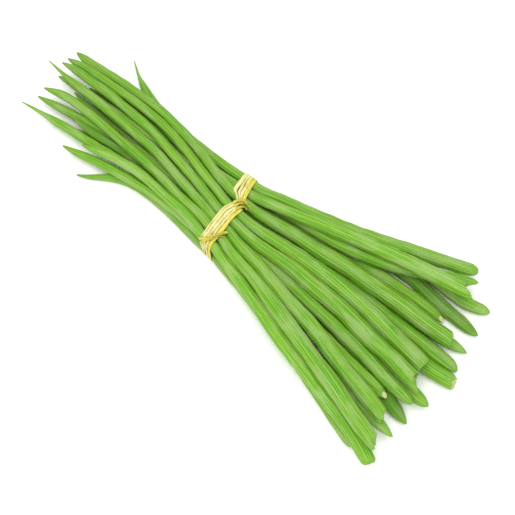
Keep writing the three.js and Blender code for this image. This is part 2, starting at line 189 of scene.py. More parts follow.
away = Vector((math.sin(TURN) * math.cos(RISE), -math.cos(TURN) * math.cos(RISE), math.sin(RISE)))
camera_data = bpy.data.cameras.new("camera")
camera_data.lens, camera_data.sensor_width = LENS_MM, FILM_MM
camera = bpy.data.objects.new("camera", camera_data)
camera.location = LOOK_AT + away * DISTANCE
camera.rotation_euler = away.to_track_quat("Z", "Y").to_euler()
bpy.context.scene.collection.objects.link(camera)
bpy.context.scene.camera = camera
print("camera at", tuple(round(v, 3) for v in camera.location))

# %% [markdown]
# ## How a real pod differs from a plain one
#
# Three things make a pod look grown rather than turned on a lathe. Its nine ribs are fine raised
# lines, with a fainter line halfway between each pair. The seeds inside push the skin out a little,
# about every 17 mm. And no pod is quite even: its thickness and its line wander by a few hundredths
# over a finger's length.
#
# We could sculpt this with a displacement texture, but a pod is a simple tube, so it's easier to
# work out each point's distance from the middle and build the mesh directly. This cell makes what
# all of that needs: a slow noise, a smooth step, and the lines round a pod.

# %% Noise, steps and rib lines
NOISE_WAVES, WAVES_TO_ONE, WAVE_PACES = 3, 1.7, (0.6, 1.5)
# The first seed of each thing that wanders, so that no two of them move together.
SEEDS = {"line": 0, "swelling": 50, "thickness": 100, "lean": 200, "ends": 300, "flesh": 400, "gaps": 500}
AROUND = 90
ANGLES = np.linspace(0, 2 * math.pi, AROUND, endpoint=False)
# How far a line spreads to its sides, where 1 is halfway to the next rib, and how high the faint one is.
RIB_SPREAD, FAINT_SPREAD, FAINT_HEIGHT = 0.38, 0.3, 0.5


def slow_noise(s, wavelength, seed):
    """A smooth curve that wanders between about -1 and 1, about once per wavelength."""
    draw = np.random.default_rng(seed)
    total = np.zeros_like(s)
    for _ in range(NOISE_WAVES):
        pace = 2 * math.pi / (wavelength * draw.uniform(*WAVE_PACES))
        total += np.sin(s * pace + draw.uniform(0, 2 * math.pi)) / WAVES_TO_ONE
    return total


def smooth_step(x, low, high):
    t = np.clip((x - low) / (high - low), 0, 1)
    return t * t * (3 - 2 * t)


def rib_lines(angle):
    """How near a point is to a rib's top (1) or to the fainter line between two ribs (up to 0.5)."""
    rib = np.exp(-((np.sin(RIBS * angle / 2) / RIB_SPREAD) ** 2))
    between = np.exp(-((np.cos(RIBS * angle / 2) / FAINT_SPREAD) ** 2))
    return rib + FAINT_HEIGHT * between


RIB_LINES = rib_lines(ANGLES)
print("rib lines run from", RIB_LINES.min().round(2), "to", RIB_LINES.max().round(2))

# %% [markdown]
# ## The stalk ends
#
# A stalk end can be left in five ways. Most pods have a rounded green end, and some narrow over a
# longer way. Some were cut across, straight or aslant. Some were torn off, so that every fibre stops
# at its own length. And on two pods the little stalk came away clean and left a pale round scar.
#
# We could model five kinds of end and swap them in. But each kind is only a small change to the last
# 5 to 20 mm, so a few numbers for each pod are enough: the kind, where the cut looks, how steep it
# is, and how pale its flesh is.

# %% Kinds of stalk end
# Pod number: kind, where the cut looks in degrees (0 is across, 90 is up), steepness, paleness.
STALK_ENDS = {
    1: ("cut", 200, 0.3, 0.05),
    2: ("torn", 20, 0.8, 0.1),
    3: ("torn", 320, 0.5, 0.3),
    4: ("torn", 20, 1.4, 0.1),
    5: ("cut", 270, 0.2, 0.05),
    6: ("torn", 330, 0.5, 0.3),
    7: ("torn", 10, 1.5, 0.1),
    9: ("narrow", 90, 0.3, 0.1),
    10: ("scar", 80, 1.2, 1.0),
    13: ("scar", 80, 1.2, 1.0),
    14: ("cut", 250, 1.6, 0.1),
    17: ("narrow", 90, 0.2, 0.3),
    19: ("torn", 60, 0.3, 0.7),
    20: ("narrow", 90, 0.3, 0.1),
    21: ("narrow", 200, 0.4, 0.3),
}
GROWN_END = ("round", 90, 0.25, 0.1)
# Kind of end: how far before the stalk end it starts to narrow, in mm, and the width left at last.
END_NARROWING = {"round": (9, 0.25), "narrow": (20, 0.3), "scar": (5, 0.8), "cut": (4, 0.8), "torn": (4, 0.8)}


def end_of(name):
    return STALK_ENDS.get(int(name[-2:]), GROWN_END)


def end_width(kind, to_end):
    """How much the last part of a pod is narrowed, like a quarter of an ellipse."""
    reach_mm, least = END_NARROWING[kind]
    short = 1 - np.clip(to_end / (reach_mm * MM), 0, 1)
    return least + (1 - least) * np.sqrt(1 - short**2)


print({kind: sum(end_of(name)[0] == kind for name in POD_NODES) for kind in END_NARROWING})

# %% [markdown]
# ## The line of a pod
#
# A pod's skin is a stack of rings, 3 mm apart along the body. At the tip and at the stalk end the
# shape changes fast, so the rings lie much closer together there. The line they are strung on is the
# smooth curve through the plain pod, with two small changes: it wanders a little to the sides, and
# the 25 mm at its tip curl into a slightly hooked beak. The wander fades out towards both ends, which
# have shapes of their own.

# %% Steps and line
STATION_STEP = 3.0 * MM
TIP_PLACES_MM = [0, 1, 2.5, 4.5, 7]
STALK_PLACES_MM = [11, 8.5, 6.5, 5, 3.8, 2.8, 2, 1.3, 0.7, 0.3, 0]
BODY_START, BODY_END = 10 * MM, 14 * MM
STEADY_TIP, STEADY_STALK = 60 * MM, 40 * MM
WANDER, WANDER_LENGTH = 0.4 * MM, 90 * MM
HOOK, HOOK_REACH = 2.5 * MM, 25 * MM


def pod_stations(length):
    """Distances along a pod, close together at its tip and at its stalk end."""
    body = np.linspace(BODY_START, length - BODY_END, int(length / STATION_STEP))
    return np.concatenate([np.array(TIP_PLACES_MM) * MM, body, length - np.array(STALK_PLACES_MM) * MM])


def on_body(at, length):
    """0 at both ends of a pod and 1 along its body, where it may wander and swell."""
    return smooth_step(at, 0.0, STEADY_TIP) * smooth_step(length - at, 0.0, STEADY_STALK)


def pod_line(name, index, at, curl):
    """The middle of a pod at distances along it, and the directions along, across and over it."""
    s, middles, _, _ = pods[name]
    centre = natural_curve(s, middles, at)
    along = np.gradient(centre, at, axis=0)
    along /= np.linalg.norm(along, axis=1, keepdims=True)
    across, over = cross_axes(along)
    wander = WANDER * on_body(at, s[-1]) * slow_noise(at, WANDER_LENGTH, index + SEEDS["line"])
    hook = curl * HOOK * (1 - np.clip(at / HOOK_REACH, 0, 1)) ** 2
    return centre + across * (wander + hook)[:, None], along, across, over


print("rings of skin on a pod:", min(len(pod_stations(l)) for l in lengths), "or more")

# %% [markdown]
# ## How thick a pod is
#
# The plain pod gives the thickness. We make it a little plumper, because the plain pods lie just
# clear of each other and real ones press together. Then come the swellings over the seeds and the
# uneven growth, the narrowing at the stalk end, and on a few pods a much thinner beak.

# %% Thickness
PLUMPNESS = 1.065
SEED_SPACING, SEED_SWELL, SEED_DRIFT = 17 * MM, 0.02, 120 * MM
UNEVEN, UNEVEN_LENGTH = 0.03, 55 * MM
# Pod number: how wide its beak is, as a share of a common one.
THIN_BEAKS = {3: 0.6, 8: 0.4, 10: 0.6}
BEAK_THIN, BEAK_REACH = 15 * MM, 50 * MM


def pod_thickness(name, index, at):
    """The distance from the middle to the rib tops, at distances along a pod."""
    s, _, radius, _ = pods[name]
    body = on_body(at, s[-1])
    drift = slow_noise(at, SEED_DRIFT, index + SEEDS["swelling"])
    seeds = SEED_SWELL * body * np.cos(2 * math.pi * at / SEED_SPACING + drift)
    uneven = UNEVEN * body * slow_noise(at, UNEVEN_LENGTH, index + SEEDS["thickness"])
    thick = steady_curve(s, radius, at) * PLUMPNESS * (1 + seeds + uneven)
    thin = THIN_BEAKS.get(int(name[-2:]), 1)
    beak = thin + (1 - thin) * smooth_step(at, BEAK_THIN, BEAK_REACH)
    return thick * end_width(end_of(name)[0], s[-1] - at) * beak


thickest = max(pod_thickness(name, k, pod_stations(lengths[k])).max() for k, name in enumerate(POD_NODES))
print("the thickest pod is", round(2 * thickest / MM, 1), "mm across")

# %% [markdown]
# ## Ribs
#
# The grooves between the ribs are 6 hundredths of the radius deep, about 0.4 mm. A real rib stands
# out more in one place than in another, so each one comes and goes along the pod. Between the three
# ribs that stand out most, the sides of the pod are a little flatter.

# %% The shape round a pod
RIB_DEPTH, SIDE_DEPTH = 0.06, 0.03
RIB_FADE, FADE_SHARE, FADE_LIMITS = 70 * MM, 0.5, (0.2, 1.5)
# A little more than the angle from one rib to the next, in radians.
RIB_SPAN = 0.7
SEEDS_PER_POD = 31


def rib_shape(index, at):
    """Each point's share of the way out to the rib tops, in one row for each place along a pod."""
    seeds = [index * SEEDS_PER_POD + int(angle / RIB_SPAN) for angle in ANGLES]
    fading = np.array([slow_noise(at, RIB_FADE, seed) for seed in seeds]).T
    stand = np.clip(1 + FADE_SHARE * fading, *FADE_LIMITS)
    side = 0.5 - 0.5 * np.cos(3 * ANGLES)
    return 1 - SIDE_DEPTH * side - RIB_DEPTH * (1 - RIB_LINES * stand)


print("lowest groove:", rib_shape(0, pod_stations(lengths[0])).min().round(2), "of the radius")

# %% [markdown]
# ## Cut and torn ends
#
# The side that a cut looks to is cut back further, so the whole end leans. In a torn end each fibre
# also stops at its own length, up to 2.6 mm short. We pull the last rings back along the pod, all of
# the way at the rim and less and less before it, so that the ribs stay straight up to the tear.

# %% Rings of skin
END_LENGTH = 12 * MM
TORN_FIBRES, TORN_MM = 24, 2.6
# Each ring is a little fuller on one side, and that side drifts round the pod.
LEAN, LEAN_LENGTH, LEAN_TURN = 0.02, 140 * MM, 6


def cut_back(name, draw, where, end_radius):
    """How far each point of the stalk end lies back from its full length."""
    kind, looks, steep, _ = end_of(name)
    back = steep * end_radius * (1 + np.cos(where - math.radians(looks)))
    if kind == "torn":
        short = draw.random(TORN_FIBRES) ** 2 * TORN_MM * MM
        fibre = np.arange(AROUND) * TORN_FIBRES / AROUND
        back = back + np.interp(fibre, np.arange(TORN_FIBRES + 1), np.append(short, short[0]))
    return back


def skin_rings(name, index):
    """Places along a pod, and at each its middle, its direction and its ring of points."""
    s, _, _, turn = pods[name]
    draw = np.random.default_rng(index + SEEDS["ends"])
    at = pod_stations(s[-1])
    centre, along, across, over = pod_line(name, index, at, draw.uniform(-1, 1))
    thick = pod_thickness(name, index, at)
    lean_to = LEAN_TURN * slow_noise(at, LEAN_LENGTH, index + SEEDS["lean"])
    lean = LEAN * on_body(at, s[-1])[:, None] * np.sin(ANGLES + lean_to[:, None])
    reach = thick[:, None] * rib_shape(index, at) * (1 + lean)

    where = ANGLES + np.interp(at, s, turn)[:, None]
    points = centre[:, None] + across[:, None] * (reach * np.cos(where))[:, :, None]
    points += over[:, None] * (reach * np.sin(where))[:, :, None]
    pulled = smooth_step(END_LENGTH - (s[-1] - at), 0, END_LENGTH)[:, None]
    points -= along[:, None] * (cut_back(name, draw, where, thick[-1]) * pulled)[:, :, None]
    return at, centre, along, points


print("a ring has", AROUND, "points, and the last", round(END_LENGTH / MM), "mm take up the cut")

# %% [markdown]
# ## Closing a pod
#
# The rings become a mesh of four-sided faces. A pointed cap closes the tip, and three smaller rings
# close the stalk end, pressed in a little like drying flesh. Blender could fill both ends with one
# flat face, but a flat face can't be rough.

# %% Faces of a pod
# Rings of flesh: share of the rim's width, and how far out (+) or in (-) it lies, in mm.
FLESH_RINGS = ((0.92, -0.1), (0.6, -0.5), (0.25, 0.2))
FLESH_ROUGH_MM, FLESH_DOME_MM, TIP_POINT_MM = 0.15, 0.1, 0.8


def ring_faces(rows, around):
    """Four-sided faces between neighbouring rows of a tube."""
    faces = []
    for row in range(rows - 1):
        for k in range(around):
            a, b = row * around + k, row * around + (k + 1) % around
            faces.append((a, b, b + around, a + around))
    return faces


def closed_skin(centre, along, points, draw):
    """The points and faces of a pod, closed by a point at its tip and by flesh at its stalk end."""
    rim = points[-1]
    rim_middle = rim.mean(axis=0)
    rows = list(points)
    for inset, out_mm in FLESH_RINGS:
        rough = draw.uniform(-FLESH_ROUGH_MM, FLESH_ROUGH_MM, AROUND)[:, None] * MM
        rows.append(rim_middle + (rim - rim_middle) * inset + along[-1] * (out_mm * MM + rough))
    tip_point = centre[0] - along[0] * TIP_POINT_MM * MM
    flesh_point = rim_middle + along[-1] * FLESH_DOME_MM * MM
    vertices = np.vstack([np.concatenate(rows), tip_point, flesh_point])
    vertices[:, 2] = np.maximum(vertices[:, 2], 0)

    faces = ring_faces(len(rows), AROUND)
    last, tip = (len(rows) - 1) * AROUND, len(rows) * AROUND
    for k in range(AROUND):
        following = (k + 1) % AROUND
        faces += [(tip, following, k), (tip + 1, last + k, last + following)]
    return vertices, faces


print("rings of flesh:", len(FLESH_RINGS))

# %% [markdown]
# ## Numbers for the material
#
# The material has to know where it is: how near a rib, how far from either end, and whether it is
# flesh. It also needs a place on a straightened pod, so that streaks follow the pod round its bends.
# An unwrapped image would give that too, but it has a seam. A straight tube of points has none.

# %% Values kept on each point
# The radius of a straightened pod, and the metres from one pod's part of a pattern to the next.
PATTERN_RADIUS_MM, PATTERN_SHIFT = 5, 0.1


def keep_values(mesh, name, values):
    """Keep one number for each point, or three if values has three columns."""
    values = np.asarray(values, float)
    kind, key = ("FLOAT_VECTOR", "vector") if values.ndim == 2 else ("FLOAT", "value")
    mesh.attributes.new(name, kind, "POINT").data.foreach_set(key, values.ravel())


def keep_pod_values(mesh, name, index, at, tone):
    """Keep what the skin's material reads. The last two points are the tip and the flesh's middle."""
    length = pods[name][0][-1]
    run = np.append(at, [length] * len(FLESH_RINGS))
    from_tip = np.append(np.repeat(run, AROUND), [0, length])
    round_tube = np.column_stack([np.cos(ANGLES), np.sin(ANGLES)]) * PATTERN_RADIUS_MM * MM
    straight = np.column_stack([np.tile(round_tube, (len(run), 1)), np.repeat(run, AROUND)])
    straight = np.vstack([straight, (0, 0, 0), (0, 0, length)])
    is_flesh = [0] * len(at) + [1] * len(FLESH_RINGS)
    kept = {
        "straight": straight + np.array([index * PATTERN_SHIFT, 0, 0]),
        "rib": np.append(np.tile(RIB_LINES, len(run)), [0, 0]),
        "from_tip": from_tip,
        "to_stalk": np.maximum(length - from_tip, 0),
        "flesh": np.append(np.repeat(is_flesh, AROUND), [0, 1]),
        "pale": np.full(len(from_tip), end_of(name)[3]),
        # A pod's own tone. On the shaded pods its darkness is painted shade.
        "own": np.full(len(from_tip), tone),
    }
    for key, values in kept.items():
        keep_values(mesh, key, values)


print("each pod has its own", PATTERN_SHIFT, "m of every pattern")

# %% [markdown]
# ## Building the pods
#
# Now every pod can be made. No two pods are the same green, so each draws its own tone. Two of them
# look clearly deeper green than the rest because they lie in shade low in the bunch, so they draw
# theirs from the dark end as painted shade.

# %% Build the pods
# Pods that lie in shade low in the bunch. Their darker tone is painted shade.
SHADED_PODS = (17, 21)
SHADED_TONES, COMMON_TONES = (0, 0.2), (0.6, 1)


def build_pod(name, index):
    at, centre, along, points = skin_rings(name, index)
    draw = np.random.default_rng(index + SEEDS["flesh"])
    vertices, faces = closed_skin(centre, along, points, draw)
    mesh = bpy.data.meshes.new(name + "_skin")
    mesh.from_pydata(vertices.tolist(), [], faces)
    mesh.polygons.foreach_set("use_smooth", [True] * len(mesh.polygons))
    tone = draw.uniform(*(SHADED_TONES if int(name[-2:]) in SHADED_PODS else COMMON_TONES))
    keep_pod_values(mesh, name, index, at, tone)
    mesh.validate()

    skin = bpy.data.objects.new(name + "_skin", mesh)
    bpy.context.scene.collection.objects.link(skin)
    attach(skin, "root")
    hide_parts(name)
    return skin


skins = [build_pod(name, index) for index, name in enumerate(POD_NODES)]
print(len(skins), "pods with", sum(len(skin.data.polygons) for skin in skins), "faces")

# %% [markdown]
# ## Colours and nodes
#
# Colours are written the way a picture editor shows them, as sRGB hex values. Blender's shaders work
# in linear light, so one function turns the first into the second. A second small function adds a
# node with its settings and its links in one line, which keeps long node trees readable.

# %% Colour and node helpers
def linear(hex_colour):
    parts = [int(hex_colour[i : i + 2], 16) / 255 for i in (1, 3, 5)]
    return tuple(p / 12.92 if p <= 0.04045 else ((p + 0.055) / 1.055) ** 2.4 for p in parts) + (1.0,)


def add(tree, kind, inputs=None, output=0, **settings):
    """Add a node and give back one of its outputs. An input is a value, or an output to link it to."""
    node = tree.nodes.new(kind)
    for key, value in settings.items():
        setattr(node, key, value)
    for key, value in (inputs or {}).items():
        if isinstance(value, bpy.types.NodeSocket):
            tree.links.new(value, node.inputs[key])
        else:
            node.inputs[key].default_value = value
    return node.outputs[output] if node.outputs else None


def empty_material(name):
    material = bpy.data.materials.new(name)
    material.use_nodes = True
    material.node_tree.nodes.clear()
    return material, material.node_tree


print("mid grey is", round(linear("#808080")[0], 3), "in linear light")

# %% [markdown]
# ## Patterns and layers
#
# Both plant skins here are striped lengthwise, because their cells grew that way. So a pattern is a
# noise that is squeezed along the piece, and its size is given in millimetres both ways. A finish is
# then painted in layers, as with thin paint: each layer has a colour, and one or more ranges that say
# where it starts to show, where it is strongest, and how strong. Picking a colour ramp for each
# pattern would also work, but the strengths would be hidden in the ramps.

# %% Pattern and layer helpers
def patterns(tree, place, sizes):
    """Named noises. Each has the size of its patches across and along a piece, in mm, and a shift."""
    made = {}
    for name, (across_mm, along_mm, detail, shift) in sizes.items():
        scale = (1 / (across_mm * MM), 1 / (across_mm * MM), 1 / (along_mm * MM))
        placed = add(tree, "ShaderNodeMapping", {"Vector": place, "Scale": scale, "Location": (shift,) * 3})
        made[name] = add(tree, "ShaderNodeTexNoise", {"Vector": placed, "Scale": 1.0, "Detail": detail})
    return made


def paint(tree, colour, layers):
    """Lay colours over each other. A range is a source, the values where the layer starts and where it
    is full, and its shares at those two. Two ranges of one layer are multiplied."""
    for hex_colour, *ranges in layers:
        shares = []
        for source, start, full, least, most in ranges:
            settings = {"Value": source, "From Min": start, "From Max": full, "To Min": least, "To Max": most}
            shares.append(add(tree, "ShaderNodeMapRange", settings, interpolation_type="SMOOTHSTEP"))
        share = shares[0]
        for other in shares[1:]:
            share = add(tree, "ShaderNodeMath", {0: share, 1: other}, operation="MULTIPLY")
        colour = add(tree, "ShaderNodeMix", {0: share, 6: colour, 7: linear(hex_colour)}, 2, data_type="RGBA")
    return colour


# %% [markdown]
# ## Patterns of the pod skin
#
# The skin is fresh plant skin: a thin waxy layer over green flesh, ridged lengthwise. Seen close, the
# ribs carry a painted highlight as fine light lines, the hollows a painted shade of deeper green, and a
# thin grey bloom lies in patches, as on a plum. Fine specks break up the even green. Real specks are
# well under a millimetre, and here they are 1.6 mm long, or they wouldn't show. Each pod gets its own
# part of every pattern.

# %% Pod skin patterns
pod_skin, tree = empty_material("moringa_skin_waxy")
straight = add(tree, "ShaderNodeAttribute", output="Vector", attribute_name="straight")
SKIN_VALUES = ("rib", "from_tip", "to_stalk", "flesh", "pale", "own")
here = {name: add(tree, "ShaderNodeAttribute", output="Fac", attribute_name=name) for name in SKIN_VALUES}
# Size across and along in mm, detail, and a shift.
SKIN_PATTERNS = {
    "streaks": (0.6, 70, 3.0, 0.0),
    "line_strength": (2.2, 14, 4.0, 3.0),
    "patches": (7, 60, 3.0, 7.0),
    "bloom_patches": (6, 30, 6.0, 19.0),
    "specks": (0.7, 1.6, 2.0, 31.0),
}
here.update(patterns(tree, straight, SKIN_PATTERNS))
print("the skin can read", len(here), "values:", ", ".join(here))

# %% [markdown]
# ## Layers of the pod skin
#
# The layers are painted from the broad to the fine: the green of the flesh, painted shade in its
# hollows, painted highlights on the ribs, thin streaks, specks, and the grey bloom on top. After them
# each pod gets its own tone.
# Last come the parts that only the ends have: tips dry to olive, and a cut shows pale flesh with
# fibres in it.

# %% Pod skin colours
# The deep green is painted shade in the rib grooves and also a real streak colour. The line green is a
# painted highlight on the rib tops and also a real streak colour.
LEAF_GREEN, YELLOW_GREEN, DEEP_GREEN = "#669e12", "#7bac1e", "#228a0a"
LINE_GREEN, BLOOM, SPECK_GREEN = "#99b957", "#8cad60", "#8ab139"
CUT_GREEN, CUT_FLESH, CUT_FIBRE, TIP_GREEN = "#729f32", "#dcdb9d", "#b6bb79", "#7d8b35"
SKIN_LAYERS = [
    (YELLOW_GREEN, (here["patches"], 0.35, 0.68, 0.0, 1.0)),
    # Painted shade: deeper green in the grooves between the ribs.
    (DEEP_GREEN, (here["rib"], 0.35, 0.0, 0.0, 0.62)),
    (DEEP_GREEN, (here["streaks"], 0.48, 0.36, 0.0, 0.6)),
    # Painted highlight: light lines along the rib tops, broken up here and there.
    (LINE_GREEN, (here["rib"], 0.2, 0.9, 0.0, 0.75), (here["line_strength"], 0.3, 0.6, 0.0, 1.0)),
    (LINE_GREEN, (here["streaks"], 0.54, 0.68, 0.0, 0.6)),
    (SPECK_GREEN, (here["specks"], 0.52, 0.75, 0.0, 0.45)),
    (BLOOM, (here["bloom_patches"], 0.44, 0.66, 0.0, 0.85), (here["specks"], 0.25, 0.6, 0.55, 1.0)),
]
# Over the last 6 mm of the stalk end and the first 10 mm of the tip.
END_LAYERS = [
    (CUT_GREEN, (here["to_stalk"], 6 * MM, 0.0, 0.0, 0.5)),
    (TIP_GREEN, (here["from_tip"], 10 * MM, 0.0, 0.0, 0.6)),
]

colour = paint(tree, linear(LEAF_GREEN), SKIN_LAYERS)
# From a dark pod to a bright, slightly yellower one.
hue = add(tree, "ShaderNodeMapRange", {"Value": here["own"], "To Min": 0.498, "To Max": 0.494})
value = add(tree, "ShaderNodeMapRange", {"Value": here["own"], "To Min": 0.72, "To Max": 1.06})
colour = add(tree, "ShaderNodeHueSaturation", {"Color": colour, "Hue": hue, "Value": value})
colour = paint(tree, colour, END_LAYERS)
flesh = paint(tree, linear(CUT_FIBRE), [(CUT_FLESH, (here["specks"], 0.3, 0.5, 0.0, 1.0))])
flesh = add(tree, "ShaderNodeMix", {0: here["pale"], 6: linear(CUT_GREEN), 7: flesh}, 2, data_type="RGBA")
colour = add(tree, "ShaderNodeMix", {0: here["flesh"], 6: colour, 7: flesh}, 2, data_type="RGBA")
print("pod colours:", len(SKIN_LAYERS) + len(END_LAYERS), "layers")

# %% [markdown]
# ## The shine of the pod skin
#
# The wax gives a soft shine: a roughness of about 0.5, and more where the bloom lies, with the IOR of
# plant wax. Light also goes into a fresh pod and comes out again, most of it green, within a
# millimetre or two. A share of a tenth is enough for that here. The streaks and specks raise the skin
# by up to a fifth of a millimetre. Bump does that well, because it is too fine for the outline.

# %% Pod skin material
height = add(tree, "ShaderNodeMath", {0: here["streaks"], 1: here["specks"]}, operation="ADD")
rough_range = {"From Min": 0.35, "From Max": 0.75, "To Min": 0.48, "To Max": 0.66}
waxy = {
    "Base Color": colour,
    "Roughness": add(tree, "ShaderNodeMapRange", {"Value": here["bloom_patches"], **rough_range}),
    "IOR": 1.45,
    "Specular IOR Level": 0.35,
    "Normal": add(tree, "ShaderNodeBump", {"Height": height, "Distance": 0.2 * MM, "Strength": 0.5}),
    "Subsurface Weight": 0.1,
    "Subsurface Scale": 2 * MM,
    "Subsurface Radius": (0.4, 1.0, 0.2),
}
add(tree, "ShaderNodeOutputMaterial", {"Surface": add(tree, "ShaderNodeBsdfPrincipled", waxy)})
for skin in skins:
    skin.data.materials.append(pod_skin)
print("pod skin:", len(tree.nodes), "nodes")

# %% [markdown]
# ## The way round a bundle
#
# Raffia is pulled tight, so it lies on the outermost pods and runs straight from one to the next.
# In each direction square to the pods, the farthest skin holds it off. Walking through all the
# directions and crossing each pair of neighbouring tangent lines gives the path of a taut strip. The
# same rule works at any place along the bunch, so a wide strip follows the pods as they spread.

# %% Where a taut strip runs
# The pods of each half, by number.
HALVES = {
    "left": [1, 2, 3, 4, 5, 9, 10, 11, 12, 15, 16, 17, 18, 19],
    "right": [6, 7, 8, 13, 14, 20, 21, 22],
}
PATH_STEPS = 180
STRIP_GAP = 0.3 * MM
TIE_X = -4 * MM


def slice_pods(half, x):
    """The middle and radius of every pod of one half, where a plane across the bunch cuts it."""
    found = []
    for number in HALVES[half]:
        _, middles, radius, _ = pods[f"pod_{number:02d}"]
        y, z = (np.interp(x, middles[:, 0], middles[:, i]) for i in (1, 2))
        found.append((y, z, np.interp(x, middles[:, 0], radius)))
    return np.array(found)


def taut_path(half, x, clearance):
    """Points (y, z) round one half at x, held off the pods, with one point for each direction."""
    y, z, radius = slice_pods(half, x).T[:, :, None]
    angle = np.linspace(0, 2 * math.pi, PATH_STEPS, endpoint=False)
    reach = (y * np.cos(angle) + z * np.sin(angle) + radius).max(axis=0) + clearance
    following = np.roll(reach, -1)
    step = angle[1]
    path_y = (reach * np.sin(angle + step) - following * np.sin(angle)) / math.sin(step)
    path_z = (following * np.cos(angle) - reach * np.cos(angle + step)) / math.sin(step)
    return np.column_stack([path_y, path_z])


for half in HALVES:
    wide, high = (round(size / MM) for size in np.ptp(taut_path(half, TIE_X, STRIP_GAP), axis=0))
    print(half, "half:", wide, "mm across,", high, "mm high")

# %% [markdown]
# ## Even steps round a bundle
#
# The points of a taut path crowd together where it bends round a pod. A strand needs them evenly
# spaced, and starting at the same place at every x, or its own points would shear. So we start on
# the +Y side, 14 mm above the table, and step evenly from there over the top.
#
# A strand asks for a path at hundreds of places, so we keep the paths at whole millimetres and mix
# the two nearest.

# %% Even paths
START_HEIGHT = 14 * MM
PATH_COUNT = 240
level_paths = {}


def even_path(points, count):
    """The same closed path with evenly spaced points, starting at START_HEIGHT on the +Y side."""
    closed = np.vstack([points, points[:1]])
    s = np.concatenate([[0], np.cumsum(np.linalg.norm(np.diff(closed, axis=0), axis=1))])
    height = closed[:, 1]
    crossing = np.flatnonzero((height[:-1] <= START_HEIGHT) & (height[1:] > START_HEIGHT))[0]
    share = (START_HEIGHT - height[crossing]) / (height[crossing + 1] - height[crossing])
    start = s[crossing] + share * (s[crossing + 1] - s[crossing])
    at = (start + np.arange(count) / count * s[-1]) % s[-1]
    return np.column_stack([np.interp(at, s, closed[:, i]) for i in (0, 1)])


def path_at(half, x):
    """The taut path at x, mixed from the paths at the whole millimetres on both sides of it."""
    low = math.floor(x / MM)
    for level in (low, low + 1):
        if (half, level) not in level_paths:
            level_paths[half, level] = even_path(taut_path(half, level * MM, 0.0), PATH_COUNT)
    share = x / MM - low
    return level_paths[half, low] * (1 - share) + level_paths[half, low + 1] * share


for half in HALVES:
    path = path_at(half, TIE_X)
    way_round = np.linalg.norm(path - np.roll(path, 1, axis=0), axis=1).sum()
    print("round the", half, "half:", round(way_round / MM), "mm")

# %% [markdown]
# ## Raffia bands
#
# Raffia is the skin of a palm leaf, split into ribbons and dried. Wound tight it creases lengthwise
# into narrow folds with dark lines between them. We build each fold as its own thin strand with a
# rounded back, side by side in a band, some a little over their neighbours. Below them lies one flat
# fold coloured brown as painted shade, which shows as a dark line wherever two strands part. One wide
# strip with a creased texture would be easier, but its edge would be too clean.
#
# The band bulges a little on its way over the pods and narrows where it is pulled in. So its middle
# and its width are given at a few places round the loop, and read between them with the same steady
# curve that we used for the pods.

# %% Where the bands lie
# Round each half from its +Y side over the top: share of the way round, middle of the band along
# the bunch in mm, and its width in mm.
BANDS = {
    "left": [
        (0, -4.3, 9), (0.075, -3.3, 12), (0.11, -3.4, 13.4), (0.17, -5.0, 14.4), (0.29, -3.9, 15.2),
        (0.37, -2.8, 14), (0.43, -2.4, 14), (0.485, -1.6, 13), (0.54, 0.2, 11.5), (0.75, -1, 11),
        (1, -4.3, 9),
    ],
    "right": [
        (0, -12.5, 11.5), (0.09, -13.5, 12), (0.14, -13.3, 14), (0.23, -11.5, 14.2), (0.32, -9.3, 14.6),
        (0.37, -5.5, 8), (0.42, -5, 6.5), (0.5, -4.5, 7), (0.75, -8, 11), (1, -12.5, 11.5),
    ],
}
# A band's strands from its tip side to its stalk side: share of the band's width, lift in mm, and
# tone (0 is cream, 1 is yellow).
STRANDS = {
    "left": [(0.14, 0.1, 0.3), (0.2, 0.3, 0.0), (0.22, 0.15, 0.0), (0.16, 0.3, 0.1), (0.28, 0.15, 0.8)],
    "right": [(0.3, 0.2, 0.0), (0.18, 0.1, 0.1), (0.24, 0.3, 0.2), (0.28, 0.15, 0.9)],
}


def band_at(half, turn):
    """The middle and the width of a band, at shares of the way round its half."""
    share, middle, width = np.array(BANDS[half]).T
    return steady_curve(share, middle, turn) * MM, steady_curve(share, width, turn) * MM


print("strands:", {half: len(strands) for half, strands in STRANDS.items()})

# %% [markdown]
# ## The course of a strand
#
# Each strand keeps its own part of the band's width. It drifts a little to the sides, and its width
# wanders, so the gap to the next strand opens and closes. Below the knot the strands are less tightly
# pulled and part more. Nothing drifts where the loop closes, or its two ends wouldn't meet.

# %% The course of a strand
DRIFT, DRIFT_LENGTH = 0.25 * MM, 0.3
OVERLAP, MOST_GAP, GAP_LENGTH, GAP_START = 0.25 * MM, 0.9 * MM, 0.12, 0.25
LEAST_WIDTH = 0.5 * MM
# Shares of the way round where the loose part below the knot starts and ends.
LOOSE_FROM, LOOSE_TO = (0.36, 0.42), (0.56, 0.62)


def strand_course(half, start, end, seed):
    """Where a strand runs along the bunch and half its width, between two shares of its band."""
    turn = np.linspace(0, 1, PATH_COUNT)
    middles, widths = band_at(half, turn)
    free = np.sin(np.linspace(0, math.pi, PATH_COUNT)) ** 0.5
    drift = slow_noise(turn, DRIFT_LENGTH, seed) * DRIFT * free
    loose = smooth_step(turn, *LOOSE_FROM) * (1 - smooth_step(turn, *LOOSE_TO))
    opening = slow_noise(turn, GAP_LENGTH, seed + SEEDS["gaps"]) - GAP_START + loose
    gap = MOST_GAP * np.clip(opening, 0, 1) * free - OVERLAP
    middle = middles + ((start + end) / 2 - 0.5) * widths + drift
    return middle, np.maximum((end - start) * widths - gap, LEAST_WIDTH) / 2


print("a strand is sampled", PATH_COUNT, "times on its way round")

# %% [markdown]
# ## The body of a strand
#
# At each step we lay a small cross-section on the taut path: seven points over its rounded back and
# seven along its flat underside. It stands on the direction straight out from the bundle. A curve
# object with a bevel would do this too, but it couldn't change its width and its height apart.

